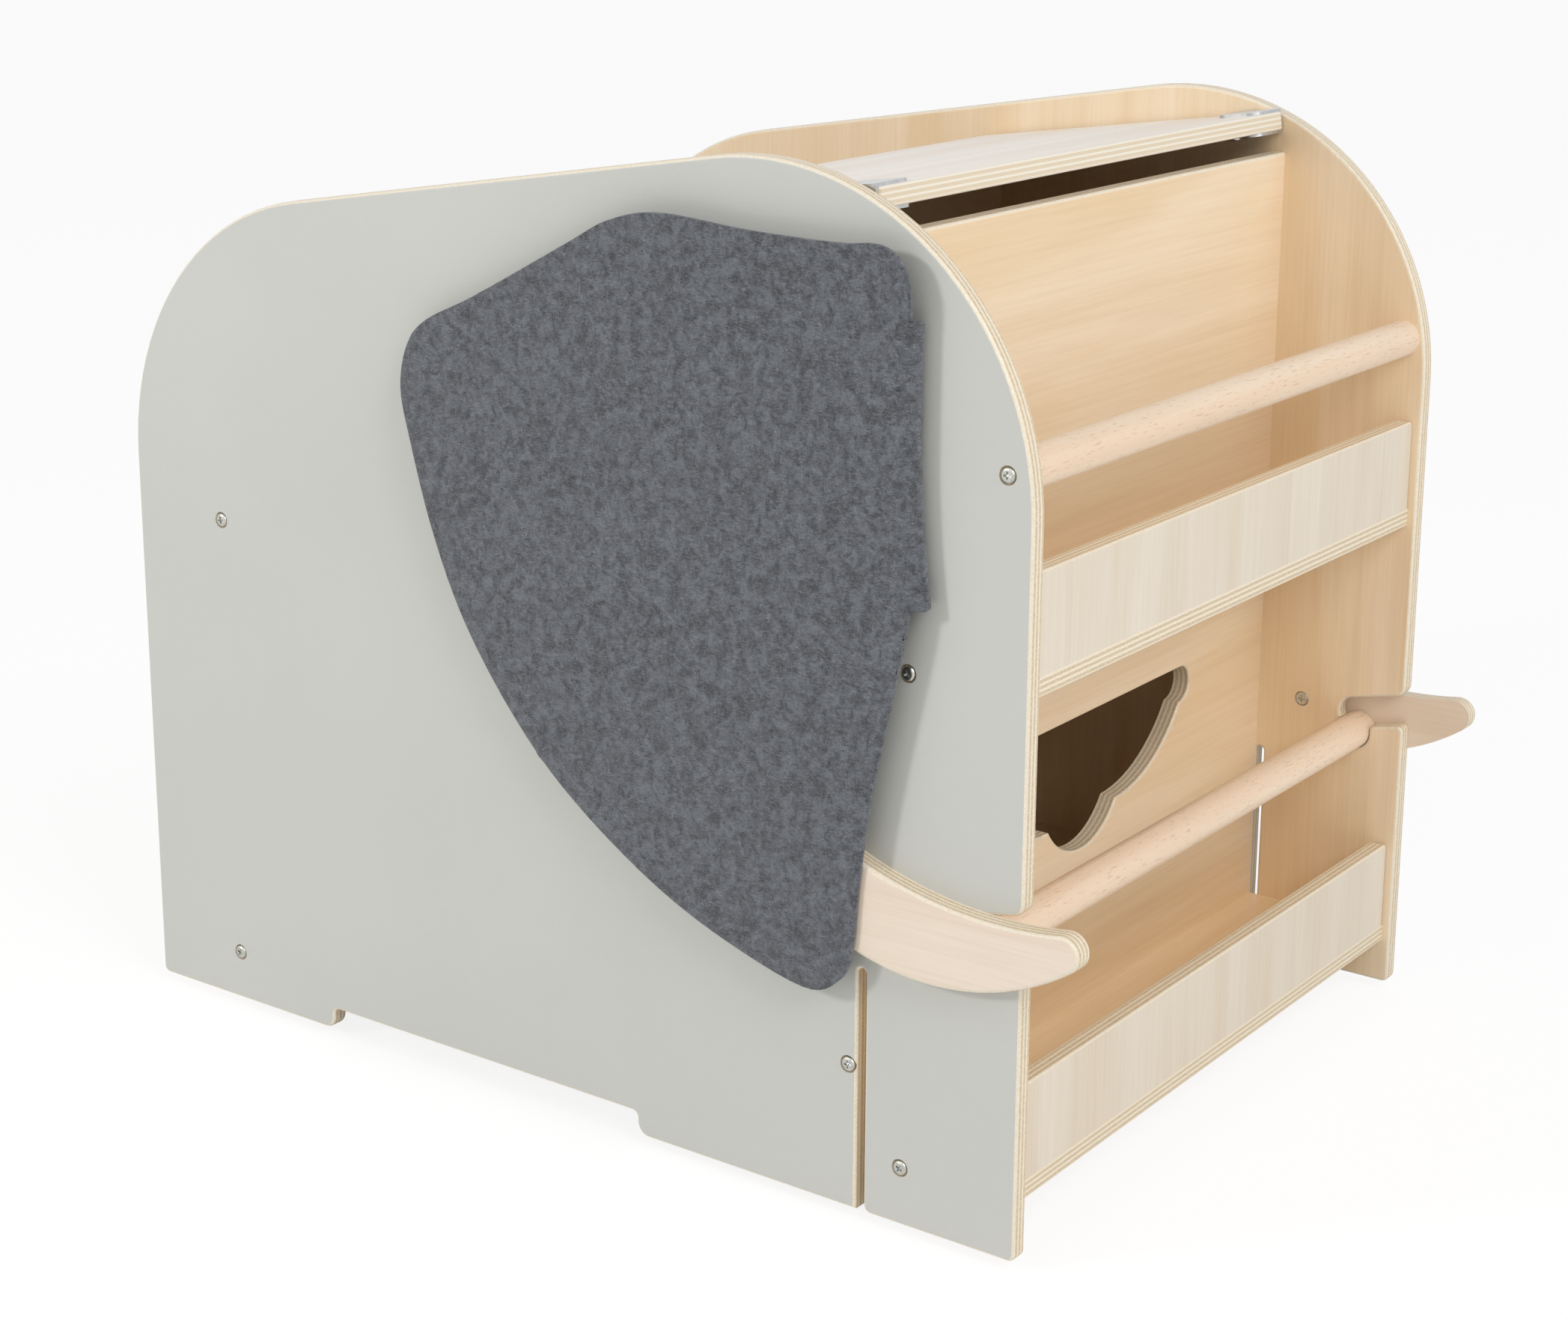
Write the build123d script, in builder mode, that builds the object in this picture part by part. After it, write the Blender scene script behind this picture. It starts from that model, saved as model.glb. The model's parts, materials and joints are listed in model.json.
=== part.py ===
"""Elephant-shaped rolling toy chest with a lidded head box, book trays, tusks and felt ears.

Millimetres, +Z up. The elephant faces -Y, and the origin is on the floor under the middle of
the chest. Most places are given as depth, from the front edge of the side panels towards the
rear, and height, above the bottom of the side panels.
"""
from build123d import *
from math import cos, radians, sin, tan
import os

os.makedirs("parts", exist_ok=True)

# Chest
chest_width = 510.0
chest_depth = 700.0
panel_thick = 12.0
board_thick = 12.0
panel_lift = 6.0

# Side panel outline
front_corner_height = 645.0
back_slope = 9.15
crown_radius = 184.0
toe_radius = 5.0
edge_round = 2.5
leg_rear = 273.0
foot_front = 533.0
belly_height = 15.0
belly_toe_radius = 9.0
belly_inner_radius = 4.0
slit_width = 5.5
slit_drop = 46.8

# Mouth notch, its slanted slot and the seat of the lower rod
mouth_height = 199.3
mouth_width = 21.0
mouth_slope = 12.0
mouth_depth = 36.5
upper_lip_radius = 8.0
lower_lip_radius = 4.0
seat_lip_radius = 4.0

# Rods
rod_diameter = 24.0
rod_seat_clearance = 0.3
upper_rod_depth = 17.0
upper_rod_height = 456.0
lower_rod_depth = 37.0
lower_rod_drop = 21.3

# Front board with its cut-out
front_board_depth = 109.0
front_board_bottom = 24.0
front_board_drop = 19.5
cutout_top = 240.0
cutout_bottom = 149.0
cutout_lobe_depth = 125.0
cutout_lobe_radius = 12.5
cutout_flank_radius = 100.0
cutout_round = 1.5

# Book trays
tray_front = 6.0
tray_end_gap = 0.8
tray_rail_height = 60.0
lower_tray_bottom = 30.0
upper_tray_bottom = 329.0
rail_corner_radius = 3.0
tray_screw_spacing = 160.0
tray_round = 1.5

# Boards behind the head
divider_depth = 331.0
rear_board_depth = 615.0
rear_board_bottom = 18.0
rear_board_top = 372.0
floor_bottom = 44.0
cleat_size = 16.0
cleat_height = 20.0
cleat_end_gap = 4.0
cleat_screw_inset = 77.0
floor_screw_front_inset = 39.0
floor_screw_divider_inset = 41.0
floor_screw_middle_inset = 165.0
floor_screw_rear_inset = 25.0

# Lid and its pivot clamps
pivot_depth = 125.0
pivot_height = 592.0
lid_slope = 7.9
lid_front_reach = 15.0
lid_rear_reach = 220.0
lid_side_gap = 3.5
lid_corner_radius = 3.0
lid_round = 1.5
lid_rest_gap = 0.3
clamp_plate = 2.0
clamp_width = 36.0
clamp_front_reach = 13.0
clamp_rear_reach = 17.0
clamp_corner_radius = 8.0
pin_diameter = 6.0
pin_clearance = 0.05
pin_end_gap = 0.5
bush_diameter = 10.0
bush_flange_diameter = 16.0
bush_flange_thick = 1.0
bush_length = 8.0

# Tusks
tusk_thick = 12.0
tusk_tip_radius = 11.0
tusk_root_radius = 18.0
tusk_round = 2.5

# Felt ears
felt_thick = 3.5
ear_tusk_gap = 0.5
fold_gap = 0.3
fold_depth = 75.0
fold_low = 376.0
fold_high = 535.0
tab_gap = 0.7
tab_width = 32.0
tab_inset = 4.0
tab_corner_radius = 6.0
strip_thick = 4.0
strip_width = 22.0
strip_inset = 5.0

# Screws: shank diameter, head diameter, head height
panel_screw = (4.5, 9.2, 3.0)
panel_screw_length = 40.0
small_screw = (3.5, 7.0, 2.2)
tusk_screw = (4.5, 10.4, 2.6)
tusk_screw_length = 18.0
ear_screw_length = 15.0
rail_screw_length = 30.0
tray_screw_length = 30.0
divider_screw_length = 30.0
floor_screw_length = 26.0
cleat_screw_length = 24.0
caster_screw_length = 10.0
clamp_screw_length = 8.0
counterbore_diameter = 11.0
counterbore_depth = 2.2
screw_clearance = 0.05

# Casters
caster_side = 190.0
caster_front_depth = 175.0
caster_rear_inset = 40.0
caster_plate_size = 40.0
caster_plate_thick = 2.0
caster_plate_corner = 4.0
caster_screw_spacing = 29.0
kingpin_diameter = 8.0
kingpin_head_diameter = 13.0
kingpin_head_height = 2.5
crown_diameter = 26.0
crown_thick = 3.0
crown_gap = 0.4
wheel_diameter = 34.0
wheel_width = 16.0
wheel_side_gap = 0.5
wheel_trail = 16.0
fork_plate = 2.0
fork_leg_width = 14.0
axle_diameter = 5.0
axle_clearance = 0.05
axle_head_diameter = 8.0
axle_head_height = 1.2
tread_round = 3.0

tusk_reach = 67.5
tusk_point_rise = 19.4
tusk_back_depth = 10.0
tusk_back_rise = 7.5
tusk_belly_depth = 54.7
tusk_belly_drop = 39.3
root_top_depth = 134.0
root_top_rise = 39.8
root_bottom_depth = 142.0
root_bottom_drop = 12.6
tusk_screw_front_depth = 76.0
tusk_screw_front_drop = 5.3
tusk_screw_rear_depth = 136.0
tusk_screw_rear_rise = 10.7

# Tusk outline, drawn as (depth, height) round the mouth; its tip is the chest's foremost point
tusk_point = (-tusk_reach, mouth_height + tusk_point_rise)
tusk_back = (tusk_back_depth, mouth_height + tusk_back_rise)
tusk_belly = (tusk_belly_depth, mouth_height - tusk_belly_drop)
root_top = (root_top_depth, mouth_height + root_top_rise)
root_bottom = (root_bottom_depth, mouth_height - root_bottom_drop)
with BuildSketch() as tusk_outline:
    with BuildLine():
        ThreePointArc(tusk_point, tusk_back, root_top)
        Line(root_top, root_bottom)
        ThreePointArc(root_bottom, tusk_belly, tusk_point)
    make_face()
    fillet(tusk_outline.vertices().sort_by(Axis.X)[:1], tusk_tip_radius)
    fillet(tusk_outline.vertices().sort_by(Axis.X)[-2:], tusk_root_radius)
tusk_tip = -tusk_outline.sketch.bounding_box().min.X

# Places that follow from the sizes above
half_width = chest_width / 2
inner_half = half_width - panel_thick
front_y = (tusk_tip - chest_depth) / 2
rear_corner_height = front_corner_height - chest_depth * tan(radians(back_slope))
slit_top = mouth_height - slit_drop
lower_rod_height = mouth_height - lower_rod_drop
front_board_top = pivot_height - front_board_drop
front_board_rear = front_board_depth + board_thick
front_board_middle = front_board_depth + board_thick / 2
divider_middle = divider_depth + board_thick / 2
rear_board_middle = rear_board_depth + board_thick / 2
caster_rear_depth = rear_board_depth - caster_rear_inset
floor_top = floor_bottom + board_thick
floor_z = panel_lift + floor_bottom
rod_seat_radius = rod_diameter / 2 + rod_seat_clearance
lid_half_width = inner_half - lid_side_gap
lid_sin = sin(radians(lid_slope))
lid_cos = cos(radians(lid_slope))
divider_top = pivot_height - lid_rear_reach * lid_sin - board_thick / 2 * lid_cos - lid_rest_gap
ear_inner = half_width + tusk_thick + ear_tusk_gap
ear_outer = ear_inner + felt_thick
fold_radius = (ear_outer - half_width - fold_gap) / 2
fold_x = half_width + fold_gap + fold_radius
tab_front = fold_depth + fold_radius + tab_gap
strip_front = tab_front + strip_inset
ear_screw_depth = strip_front + strip_width / 2
tray_screw_depth = 78.0
tusk_screw_places = [
    (tusk_screw_front_depth, mouth_height - tusk_screw_front_drop),
    (tusk_screw_rear_depth, mouth_height + tusk_screw_rear_rise),
]


def at(x, depth, height):
    """A point given by its side, its depth behind the panels' front and its height over their feet."""
    return (x, front_y + depth, panel_lift + height)


def side_plane(x):
    """The plane across X at x, where a sketch is drawn as (depth, height)."""
    return Plane(origin=at(x, 0, 0), x_dir=(0, 1, 0), z_dir=(1, 0, 0))


def cross_plane(depth):
    """The plane across Y at that depth, facing the front, where a sketch is drawn as (x, height)."""
    return Plane(origin=at(0, depth, 0), x_dir=(1, 0, 0), z_dir=(0, -1, 0))


def level_plane(height):
    """The level plane at that height, where a sketch is drawn as (x, depth)."""
    return Plane(origin=at(0, 0, height), x_dir=(1, 0, 0), z_dir=(0, 0, 1))


def facing(point, outward):
    """The place of something at point whose own +Z looks outward."""
    return Plane(origin=point, z_dir=outward).location


def nearest(vertices, *places):
    """For each place, the sketch vertex that lies closest to it."""
    return [min(vertices, key=lambda v: (v.X - x) ** 2 + (v.Y - y) ** 2) for x, y in places]


def save(builder, name):
    """Labels a finished piece and writes it under its own name."""
    builder.part.label = name
    export_step(builder.part, f"parts/{name}.step")


def mirrored(builder):
    """The same piece on the other side of the chest."""
    with BuildPart() as other:
        mirror(builder.part, about=Plane.YZ)
    return other


def screw(size, length):
    """A pan-head cross screw: its head stands on z = 0 and its shank runs down from there."""
    shank_diameter, head_diameter, head_height = size
    tip = shank_diameter
    upright = (Align.CENTER, Align.CENTER, Align.MIN)
    with BuildPart() as body:
        Cylinder(head_diameter / 2, head_height, align=upright)
        fillet(body.edges().group_by(Axis.Z)[-1], head_height * 0.6)
        with Locations((0, 0, head_height)):
            Box(head_diameter * 0.5, head_diameter * 0.13, head_height, mode=Mode.SUBTRACT)
            Box(head_diameter * 0.13, head_diameter * 0.5, head_height, mode=Mode.SUBTRACT)
        with Locations((0, 0, tip - length)):
            Cylinder(shank_diameter / 2, length - tip, align=upright)
        with Locations((0, 0, -length)):
            Cone(shank_diameter * 0.1, shank_diameter / 2, tip, align=upright)
    return body.part


def drive(size, length, places, outward, turn=31.0):
    """The same screw at every place, heads looking outward, each turned a little further."""
    for index, point in enumerate(places):
        with Locations(facing(point, outward) * Location((0, 0, 0), (0, 0, turn * index))):
            add(screw(size, length))


def bore(size, length, places, outward):
    """Pilot holes for those screws."""
    radius = size[0] / 2 + screw_clearance
    for point in places:
        with Locations(facing(point, outward)):
            Cylinder(
                radius, length + 1, align=(Align.CENTER, Align.CENTER, Align.MAX), mode=Mode.SUBTRACT
            )


# Screw places, from the left panel's outer face inwards
panel_screw_places = [
    (upper_rod_depth, upper_rod_height),
    (tray_screw_depth, upper_tray_bottom + board_thick / 2),
    (tray_screw_depth, lower_tray_bottom + board_thick / 2),
    (front_board_middle, 91.0),
    (front_board_middle, 320.0),
    (front_board_middle, 552.0),
    (divider_middle, 300.0),
    (divider_middle, 500.0),
    (rear_board_middle, 34.0),
    (rear_board_middle, 340.0),
]
seat_x = half_width - counterbore_depth
left_screws = [at(-seat_x, d, h) for d, h in panel_screw_places]
right_screws = [at(seat_x, d, h) for d, h in panel_screw_places]
strip_screw_heights = [fold_low + 22, (fold_low + fold_high) / 2, fold_high - 22]
strip_face = half_width + felt_thick + strip_thick
ear_screws_left = [at(-strip_face, ear_screw_depth, h) for h in strip_screw_heights]
ear_screws_right = [at(strip_face, ear_screw_depth, h) for h in strip_screw_heights]
tusk_seat = inner_half + tusk_screw[2]
tusk_screws_left = [at(-tusk_seat, d, h) for d, h in tusk_screw_places]
tusk_screws_right = [at(tusk_seat, d, h) for d, h in tusk_screw_places]
cleat_middle = floor_bottom - cleat_height / 2
cleat_centre = (front_board_rear + rear_board_depth) / 2
cleat_screw_depths = [front_board_rear + cleat_screw_inset, cleat_centre, rear_board_depth - cleat_screw_inset]
cleat_face = inner_half - cleat_size
cleat_screws_left = [at(-cleat_face, d, cleat_middle) for d in cleat_screw_depths]
cleat_screws_right = [at(cleat_face, d, cleat_middle) for d in cleat_screw_depths]
tray_screw_sides = [-tray_screw_spacing, 0.0, tray_screw_spacing]
tray_screws = [
    at(x, front_board_rear, h + board_thick / 2)
    for x in tray_screw_sides
    for h in (lower_tray_bottom, upper_tray_bottom)
]
rail_screws = [
    at(x, tray_front + board_thick / 2, h)
    for x in tray_screw_sides
    for h in (lower_tray_bottom, upper_tray_bottom)
]
divider_screws = [at(x, divider_middle, floor_bottom) for x in tray_screw_sides]
floor_screw_depths = [
    front_board_rear + floor_screw_front_inset,
    divider_depth - floor_screw_divider_inset,
    rear_board_depth - floor_screw_middle_inset,
    rear_board_depth - floor_screw_rear_inset,
]
floor_screws = [
    at(side * (inner_half - cleat_size / 2), d, floor_top)
    for side in (-1, 1)
    for d in floor_screw_depths
]
caster_places = [
    (name, side * caster_side, depth)
    for name, side, depth in (
        ("front_left", -1, caster_front_depth),
        ("front_right", 1, caster_front_depth),
        ("rear_left", -1, caster_rear_depth),
        ("rear_right", 1, caster_rear_depth),
    )
]
caster_plate_bottom = floor_bottom - caster_plate_thick
caster_screw_reach = caster_screw_spacing / 2
caster_screws = [
    at(x + sx * caster_screw_reach, depth + sy * caster_screw_reach, caster_plate_bottom)
    for name, x, depth in caster_places
    for sx in (-1, 1)
    for sy in (-1, 1)
]

# Side panels
leg_front = front_board_depth
slit_front = leg_front - slit_width
mouth_tan = tan(radians(mouth_slope))
mouth_half = mouth_width / 2 / cos(radians(mouth_slope))
with BuildPart() as side_panel_left:
    with BuildSketch(side_plane(-half_width)) as panel_outline:
        with BuildLine():
            Polyline(
                (0, 0),
                (chest_depth, 0),
                (chest_depth, rear_corner_height),
                (0, front_corner_height),
                close=True,
            )
        make_face()
        crown = nearest(
            panel_outline.vertices(), (0, front_corner_height), (chest_depth, rear_corner_height)
        )
        fillet(crown, crown_radius)
        with Locations(((leg_rear + foot_front) / 2, belly_height / 2)):
            Rectangle(foot_front - leg_rear, belly_height, mode=Mode.SUBTRACT)
        with Locations((leg_front - slit_width / 2, (slit_top - slit_width / 2) / 2)):
            Rectangle(slit_width, slit_top - slit_width / 2, mode=Mode.SUBTRACT)
        with Locations((leg_front - slit_width / 2, slit_top - slit_width / 2)):
            Circle(slit_width / 2, mode=Mode.SUBTRACT)
        with Locations((lower_rod_depth, lower_rod_height)):
            Circle(rod_seat_radius, mode=Mode.SUBTRACT)
        with BuildLine():
            Polyline(
                (-10, mouth_height + mouth_half + 10 * mouth_tan),
                (mouth_depth, mouth_height + mouth_half - mouth_depth * mouth_tan),
                (mouth_depth, mouth_height - mouth_half - mouth_depth * mouth_tan),
                (-10, mouth_height - mouth_half + 10 * mouth_tan),
                close=True,
            )
        make_face(mode=Mode.SUBTRACT)
        with Locations((mouth_depth, mouth_height - mouth_depth * mouth_tan)):
            Circle(mouth_width / 2, mode=Mode.SUBTRACT)
        corners = panel_outline.vertices()
        toes = nearest(corners, (0, 0), (chest_depth, 0), (slit_front, 0))
        fillet(toes, toe_radius)
        corners = panel_outline.vertices()
        fillet(nearest(corners, (leg_rear, 0), (foot_front, 0)), belly_toe_radius)
        corners = panel_outline.vertices()
        inner = nearest(corners, (leg_rear, belly_height), (foot_front, belly_height))
        fillet(inner, belly_inner_radius)
        corners = panel_outline.vertices()
        fillet(nearest(corners, (0, mouth_height + mouth_half)), upper_lip_radius)
        corners = panel_outline.vertices()
        fillet(nearest(corners, (0, mouth_height - mouth_half)), lower_lip_radius)
        corners = panel_outline.vertices()
        seat_front = lower_rod_depth - rod_seat_radius
        seat_lip = nearest(corners, (seat_front, mouth_height - mouth_half - seat_front * mouth_tan))
        fillet(seat_lip, seat_lip_radius)
    extrude(amount=panel_thick)
    faces = side_panel_left.faces().filter_by(Axis.X).sort_by(Axis.X)
    rims = faces[0].outer_wire().edges() + faces[-1].outer_wire().edges()
    fillet(rims, edge_round)
    bore(panel_screw, panel_screw_length, left_screws, (-1, 0, 0))
    for point in left_screws:
        with Locations(facing(point, (-1, 0, 0))):
            Cylinder(
                counterbore_diameter / 2,
                counterbore_depth + 1,
                align=(Align.CENTER, Align.CENTER, Align.MIN),
                mode=Mode.SUBTRACT,
            )
    bore(tusk_screw, tusk_screw_length, tusk_screws_left, (1, 0, 0))
    for point in tusk_screws_left:
        with Locations(facing(point, (1, 0, 0))):
            Cylinder(
                tusk_screw[1] / 2 + screw_clearance,
                tusk_screw[2] + 1,
                align=(Align.CENTER, Align.CENTER, Align.MIN),
                mode=Mode.SUBTRACT,
            )
    bore(small_screw, ear_screw_length, ear_screws_left, (-1, 0, 0))
    bore(small_screw, cleat_screw_length, cleat_screws_left, (1, 0, 0))
    with Locations(facing(at(-inner_half, pivot_depth, pivot_height), (1, 0, 0))):
        Cylinder(
            bush_diameter / 2,
            bush_length,
            align=(Align.CENTER, Align.CENTER, Align.MAX),
            mode=Mode.SUBTRACT,
        )
save(side_panel_left, "side_panel_left")
save(mirrored(side_panel_left), "side_panel_right")


def box(x0, x1, depth0, depth1, height0, height1):
    """A block between two sides, two depths and two heights."""
    low = at(x0, depth0, height0)
    with Locations(low):
        Box(x1 - x0, depth1 - depth0, height1 - height0, align=(Align.MIN, Align.MIN, Align.MIN))


# Front board with the wide cut-out above the lower tray
flank_height = cutout_top - 2 * cutout_lobe_radius - cutout_flank_radius
flank_drop = cutout_bottom - flank_height
bottom_radius = (cutout_lobe_depth**2 + flank_drop**2 - cutout_flank_radius**2) / (
    2 * (cutout_flank_radius - flank_drop)
)
bottom_middle = cutout_bottom + bottom_radius
reach = cutout_flank_radius / (cutout_flank_radius + bottom_radius)
tangent_x = cutout_lobe_depth * (1 - reach)
tangent_z = flank_height + (bottom_middle - flank_height) * reach
lobe_bottom = cutout_top - 2 * cutout_lobe_radius
lobe_middle = cutout_top - cutout_lobe_radius
lobe_end = cutout_lobe_depth + cutout_lobe_radius
with BuildPart() as front_board:
    box(-inner_half, inner_half, front_board_depth, front_board_rear, front_board_bottom, front_board_top)
    top_edges = front_board.edges().filter_by(Axis.X).sort_by(Axis.Z)[-2:]
    fillet(top_edges, edge_round)
    with BuildSketch(cross_plane(front_board_depth)):
        with BuildLine():
            Line((-cutout_lobe_depth, cutout_top), (cutout_lobe_depth, cutout_top))
            ThreePointArc(
                (cutout_lobe_depth, cutout_top), (lobe_end, lobe_middle), (cutout_lobe_depth, lobe_bottom)
            )
            RadiusArc((cutout_lobe_depth, lobe_bottom), (tangent_x, tangent_z), cutout_flank_radius)
            ThreePointArc((tangent_x, tangent_z), (0, cutout_bottom), (-tangent_x, tangent_z))
            RadiusArc((-tangent_x, tangent_z), (-cutout_lobe_depth, lobe_bottom), cutout_flank_radius)
            ThreePointArc(
                (-cutout_lobe_depth, lobe_bottom), (-lobe_end, lobe_middle), (-cutout_lobe_depth, cutout_top)
            )
        make_face()
    extrude(amount=-board_thick, mode=Mode.SUBTRACT)
    front_face = front_board.faces().sort_by(Axis.Y)[0]
    fillet(front_face.inner_wires()[0].edges(), cutout_round)
    bore(panel_screw, panel_screw_length, left_screws, (-1, 0, 0))
    bore(panel_screw, panel_screw_length, right_screws, (1, 0, 0))
    bore(small_screw, tray_screw_length, tray_screws, (0, 1, 0))
save(front_board, "front_board")

# Boards behind the head
with BuildPart() as divider_board:
    box(-inner_half, inner_half, divider_depth, divider_depth + board_thick, floor_top, divider_top)
    bore(panel_screw, panel_screw_length, left_screws, (-1, 0, 0))
    bore(panel_screw, panel_screw_length, right_screws, (1, 0, 0))
    bore(small_screw, divider_screw_length, divider_screws, (0, 0, -1))
save(divider_board, "divider_board")

with BuildPart() as rear_board:
    rear_face = rear_board_depth + board_thick
    box(-inner_half, inner_half, rear_board_depth, rear_face, rear_board_bottom, rear_board_top)
    top_edges = rear_board.edges().filter_by(Axis.X).sort_by(Axis.Z)[-2:]
    fillet(top_edges, edge_round)
    bore(panel_screw, panel_screw_length, left_screws, (-1, 0, 0))
    bore(panel_screw, panel_screw_length, right_screws, (1, 0, 0))
save(rear_board, "rear_board")

with BuildPart() as floor_board:
    box(-inner_half, inner_half, front_board_rear, rear_board_depth, floor_bottom, floor_top)
    bore(small_screw, divider_screw_length, divider_screws, (0, 0, -1))
    bore(small_screw, floor_screw_length, floor_screws, (0, 0, 1))
    bore(small_screw, caster_screw_length, caster_screws, (0, 0, -1))
save(floor_board, "floor_board")

with BuildPart() as floor_cleat_left:
    front = front_board_rear + cleat_end_gap
    rear = rear_board_depth - cleat_end_gap
    box(-inner_half, -cleat_face, front, rear, floor_bottom - cleat_height, floor_bottom)
    bore(small_screw, floor_screw_length, floor_screws, (0, 0, 1))
    bore(small_screw, cleat_screw_length, cleat_screws_left, (1, 0, 0))
save(floor_cleat_left, "floor_cleat_left")
save(mirrored(floor_cleat_left), "floor_cleat_right")

# Book trays
for name, bottom in (("lower", lower_tray_bottom), ("upper", upper_tray_bottom)):
    base_top = bottom + board_thick
    with BuildPart() as tray_base:
        box(-inner_half, inner_half, tray_front, front_board_depth, bottom, base_top)
        front_edges = tray_base.edges().filter_by(Axis.X).group_by(Axis.Y)[0].sort_by(Axis.Z)
        fillet(front_edges[0], tray_round)
        bore(panel_screw, panel_screw_length, left_screws, (-1, 0, 0))
        bore(panel_screw, panel_screw_length, right_screws, (1, 0, 0))
        bore(small_screw, tray_screw_length, tray_screws, (0, 1, 0))
        bore(small_screw, rail_screw_length, rail_screws, (0, 0, -1))
    save(tray_base, f"{name}_tray_base")
    with BuildPart() as tray_rail:
        rail_end = inner_half - tray_end_gap
        box(-rail_end, rail_end, tray_front, tray_front + board_thick, base_top, base_top + tray_rail_height)
        upper_corners = tray_rail.edges().filter_by(Axis.Y).sort_by(Axis.Z)[-2:]
        fillet(upper_corners, rail_corner_radius)
        top_face = tray_rail.faces().sort_by(Axis.Z)[-1]
        fillet(top_face.edges().filter_by(Axis.X), tray_round)
        bore(small_screw, rail_screw_length, rail_screws, (0, 0, -1))
    save(tray_rail, f"{name}_tray_rail")

# Rods
with BuildPart() as upper_rod:
    with Locations(facing(at(0, upper_rod_depth, upper_rod_height), (1, 0, 0))):
        Cylinder(rod_diameter / 2, 2 * inner_half)
    bore(panel_screw, panel_screw_length, left_screws, (-1, 0, 0))
    bore(panel_screw, panel_screw_length, right_screws, (1, 0, 0))
save(upper_rod, "upper_rod")

with BuildPart() as lower_rod:
    with Locations(facing(at(0, lower_rod_depth, lower_rod_height), (1, 0, 0))):
        Cylinder(rod_diameter / 2, chest_width - 2 * rod_seat_clearance)
save(lower_rod, "lower_rod")

# Tusks
with BuildPart() as tusk_left:
    with BuildSketch(side_plane(-half_width - tusk_thick)):
        add(tusk_outline.sketch)
    extrude(amount=tusk_thick)
    outer = tusk_left.faces().sort_by(Axis.X)[0]
    fillet(outer.edges(), tusk_round)
    bore(tusk_screw, tusk_screw_length, tusk_screws_left, (1, 0, 0))
save(tusk_left, "tusk_left")
save(mirrored(tusk_left), "tusk_right")

# Felt ears, folded back along a vertical line near the panels' front edge
ear_points = [
    (67.5, 376),
    (74, 343),
    (91, 265),
    (99, 210),
    (103, 169),
    (112, 149),
    (137, 139),
    (202, 157),
    (258, 183),
    (316, 222),
    (357, 263),
    (393, 314),
    (417, 367),
    (434, 422),
    (441, 454),
    (435, 481),
    (419, 498),
    (379, 517),
    (309, 554),
    (276, 571),
    (240, 578),
    (180, 574),
    (120, 572.5),
    (92, 574),
    (78, 567),
    (72, 552),
    (fold_depth, fold_high),
]
with BuildPart() as ear_left:
    with BuildSketch(side_plane(-ear_outer)):
        with BuildLine():
            Spline(*ear_points)
            Polyline(ear_points[-1], (fold_depth, fold_low), ear_points[0])
        make_face()
    extrude(amount=felt_thick)
    with BuildSketch(level_plane(fold_low)):
        with Locations((-fold_x, fold_depth)):
            Circle(fold_radius)
            Circle(fold_radius - felt_thick, mode=Mode.SUBTRACT)
            with Locations((0, fold_radius / 2)):
                Rectangle(2 * fold_radius, fold_radius, mode=Mode.SUBTRACT)
    extrude(amount=fold_high - fold_low)
save(ear_left, "ear_left")
save(mirrored(ear_left), "ear_right")

tab_low = fold_low + tab_inset
tab_high = fold_high - tab_inset
with BuildPart() as ear_tab_left:
    box(-half_width - felt_thick, -half_width, tab_front, tab_front + tab_width, tab_low, tab_high)
    rear_corners = ear_tab_left.edges().filter_by(Axis.X).group_by(Axis.Y)[-1]
    fillet(rear_corners, tab_corner_radius)
    bore(small_screw, ear_screw_length, ear_screws_left, (-1, 0, 0))
save(ear_tab_left, "ear_tab_left")
save(mirrored(ear_tab_left), "ear_tab_right")

with BuildPart() as ear_strip_left:
    strip_inner = -half_width - felt_thick
    strip_low = tab_low + tab_inset
    strip_high = tab_high - tab_inset
    box(-strip_face, strip_inner, strip_front, strip_front + strip_width, strip_low, strip_high)
    outer = ear_strip_left.faces().sort_by(Axis.X)[0]
    fillet(outer.edges(), tray_round)
    bore(small_screw, ear_screw_length, ear_screws_left, (-1, 0, 0))
save(ear_strip_left, "ear_strip_left")
save(mirrored(ear_strip_left), "ear_strip_right")

# Lid, sloping down to the rear, with a folded clamp and a pin at each front corner
lid_plane = Plane(
    origin=at(0, pivot_depth, pivot_height), x_dir=(1, 0, 0), z_dir=(0, lid_sin, lid_cos)
)
clamp_outer = lid_half_width + clamp_plate
clamp_inner = clamp_outer - clamp_width
clamp_middle = (clamp_outer + clamp_inner) / 2
clamp_screw_row = clamp_rear_reach / 2
clamp_half = board_thick / 2 + clamp_plate
pin_inner = lid_half_width - pin_diameter * 2
pin_outer = inner_half + bush_length - pin_end_gap


def clamp_screw_locations(side):
    """Where the two clamp screws of one side start, under the clamp's lower plate."""
    return [
        lid_plane.location * Location((side * x, clamp_screw_row, -clamp_half), (180, 0, 0))
        for x in (clamp_middle - clamp_width / 4, clamp_middle + clamp_width / 4)
    ]


def bore_clamp_screws(side):
    """Their pilot holes."""
    radius = small_screw[0] / 2 + screw_clearance
    for place in clamp_screw_locations(side):
        with Locations(place):
            Cylinder(
                radius,
                clamp_screw_length + 0.5,
                align=(Align.CENTER, Align.CENTER, Align.MAX),
                mode=Mode.SUBTRACT,
            )


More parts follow.
